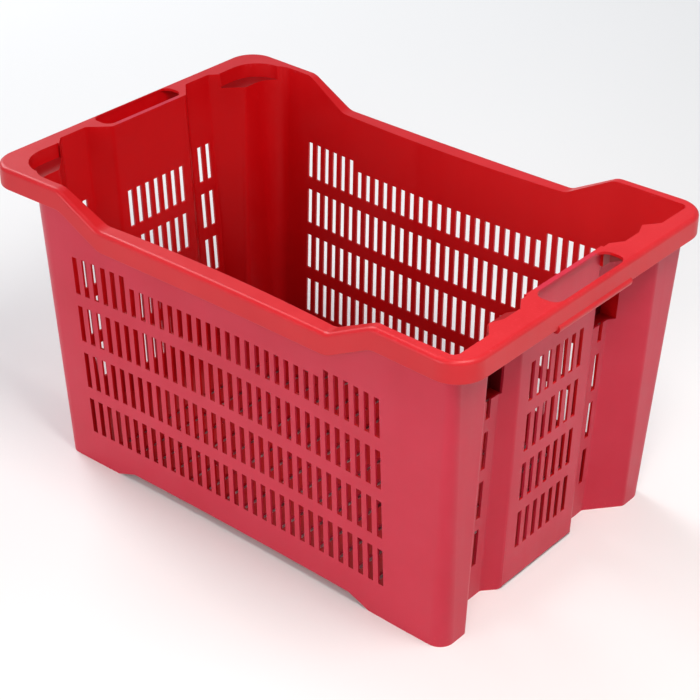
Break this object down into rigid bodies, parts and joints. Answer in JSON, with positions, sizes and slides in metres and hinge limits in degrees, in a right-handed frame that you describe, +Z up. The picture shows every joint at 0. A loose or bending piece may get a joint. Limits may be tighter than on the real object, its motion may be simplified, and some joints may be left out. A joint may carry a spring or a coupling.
{
  "type": "harvest crate",
  "caption": "Open rectangular plastic harvest crate with slotted walls and floor, dipped long rims, end handles and pockets for the feet of a turned crate stacked on top.",
  "frame": {"origin": "middle of the base, on the plane that the feet stand on", "axes": "+X along the length to the end with the recesses, +Y to the back long side, +Z up"},
  "size_m": [0.533, 0.338, 0.293],
  "materials": {
    "crate_plastic": "satin moulded polyethylene, red"
  },
  "bodies": {
    "root": {"back_left_corner": "crate_plastic", "back_left_end_rim": "crate_plastic", "back_left_foot_face": "crate_plastic", "back_left_foot_inner_side": "crate_plastic", "back_left_foot_outer_side": "crate_plastic", "back_left_pocket": "crate_plastic", "back_left_rim_corner": "crate_plastic", "back_left_rim_rail": "crate_plastic", "back_left_wall_end": "crate_plastic", "back_right_end_rim": "crate_plastic", "back_right_leg": "crate_plastic", "back_right_niche": "crate_plastic", "back_right_panel_side": "crate_plastic", "back_right_pocket": "crate_plastic", "back_right_recess_face": "crate_plastic", "back_right_recess_head": "crate_plastic", "back_right_recess_side": "crate_plastic", "back_right_rim_corner": "crate_plastic", "back_right_rim_rail": "crate_plastic", "back_right_wall_end": "crate_plastic", "back_rim_dip": "crate_plastic", "back_wall": "crate_plastic", "floor": "crate_plastic", "front_left_corner": "crate_plastic", "front_left_end_rim": "crate_plastic", "front_left_foot_face": "crate_plastic", "front_left_foot_inner_side": "crate_plastic", "front_left_foot_outer_side": "crate_plastic", "front_left_pocket": "crate_plastic", "front_left_rim_corner": "crate_plastic", "front_left_rim_rail": "crate_plastic", "front_left_wall_end": "crate_plastic", "front_right_end_rim": "crate_plastic", "front_right_leg": "crate_plastic", "front_right_niche": "crate_plastic", "front_right_panel_side": "crate_plastic", "front_right_pocket": "crate_plastic", "front_right_recess_face": "crate_plastic", "front_right_recess_head": "crate_plastic", "front_right_recess_side": "crate_plastic", "front_right_rim_corner": "crate_plastic", "front_right_rim_rail": "crate_plastic", "front_right_wall_end": "crate_plastic", "front_rim_dip": "crate_plastic", "front_wall": "crate_plastic", "left_handle_bar": "crate_plastic", "left_handle_sill": "crate_plastic", "left_panel": "crate_plastic", "right_handle_bar": "crate_plastic", "right_handle_sill": "crate_plastic", "right_panel": "crate_plastic"}
  },
  "joints": []
}
